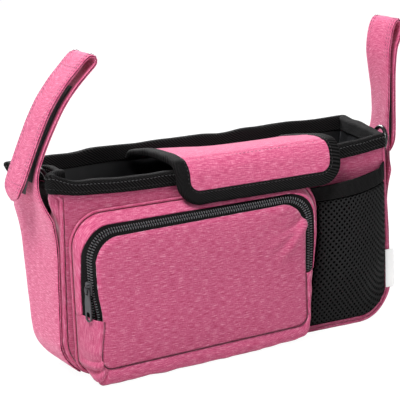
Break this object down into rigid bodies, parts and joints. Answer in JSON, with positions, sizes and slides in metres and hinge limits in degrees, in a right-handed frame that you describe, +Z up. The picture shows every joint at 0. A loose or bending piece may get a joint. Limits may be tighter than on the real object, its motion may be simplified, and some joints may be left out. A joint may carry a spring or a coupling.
{
  "type": "stroller organizer",
  "caption": "Soft open-top stroller organizer bag with a padded lid flap, a zipped front pocket, a mesh pocket, folded loop straps and D-rings.",
  "frame": {"origin": "on the flat underside of the base, where the bag stands", "axes": "+Z up, +X to the right of the front along the bag's length, -Y towards the front with its zipped pocket"},
  "size_m": [0.3969, 0.1484, 0.281],
  "materials": {
    "pink_cloth": "heathered woven polyester, matt",
    "black_tape": "woven tape, matt",
    "black_lining": "thin coated cloth with a soft sheen",
    "black_mesh": "knitted mesh, matt",
    "zipper_black": "nylon coil, slightly glossy",
    "ring_plastic": "moulded black plastic",
    "dark_metal": "dark grey coated die-cast metal",
    "white_tag": "woven tag, satin"
  },
  "bodies": {
    "bag": {"front_panel": "pink_cloth", "back_panel": "pink_cloth", "gusset": "pink_cloth", "front_piping": "pink_cloth", "back_piping": "pink_cloth", "lining": "black_lining", "rim_binding": "black_tape", "flap_panel": "pink_cloth", "flap_binding": "black_tape", "flap_loop_tape": "black_tape", "flap_hook_tape": "black_tape", "pocket_welt": "pink_cloth", "pocket_facing": "pink_cloth", "pocket_gusset": "pink_cloth", "zipper_tape_outer": "black_tape", "zipper_tape_inner": "black_tape", "zipper_coil_outer": "zipper_black", "zipper_coil_inner": "zipper_black", "pocket_front": "pink_cloth", "mesh_panel": "black_mesh", "mesh_hem": "black_tape", "left_strap": "pink_cloth", "left_loop_tape": "black_tape", "left_hook_tape": "black_tape", "right_strap": "pink_cloth", "right_loop_tape": "black_tape", "right_hook_tape": "black_tape", "left_ring_tab": "black_tape", "right_ring_tab": "black_tape", "side_label": "white_tag"},
    "slider": {"zipper_slider": "dark_metal"},
    "pull": {"zipper_pull": "dark_metal"},
    "left_ring": {"left_d_ring": "ring_plastic"},
    "right_ring": {"right_d_ring": "ring_plastic"}
  },
  "joints": [
    {"name": "zipper_slide", "type": "slide", "parent": "bag", "child": "slider", "axis": [0, 0, 1], "range_m": [-0.02, 0.016]},
    {"name": "pull_hinge", "type": "hinge", "parent": "slider", "child": "pull", "pos_m": [-0.15566, -0.07426, 0.088], "axis": [-0.238, 0.9713, 0], "range_deg": [0, 170]},
    {"name": "left_ring_hinge", "type": "hinge", "parent": "bag", "child": "left_ring", "pos_m": [-0.15604, 0.00392, 0.16298], "axis": [0.0155, -0.9999, -0.0039], "range_deg": [-4, 32]},
    {"name": "right_ring_hinge", "type": "hinge", "parent": "bag", "child": "right_ring", "pos_m": [0.17636, -0.02083, 0.16166], "axis": [0.1586, 0.9873, -0.0098], "range_deg": [-14, 12]}
  ]
}
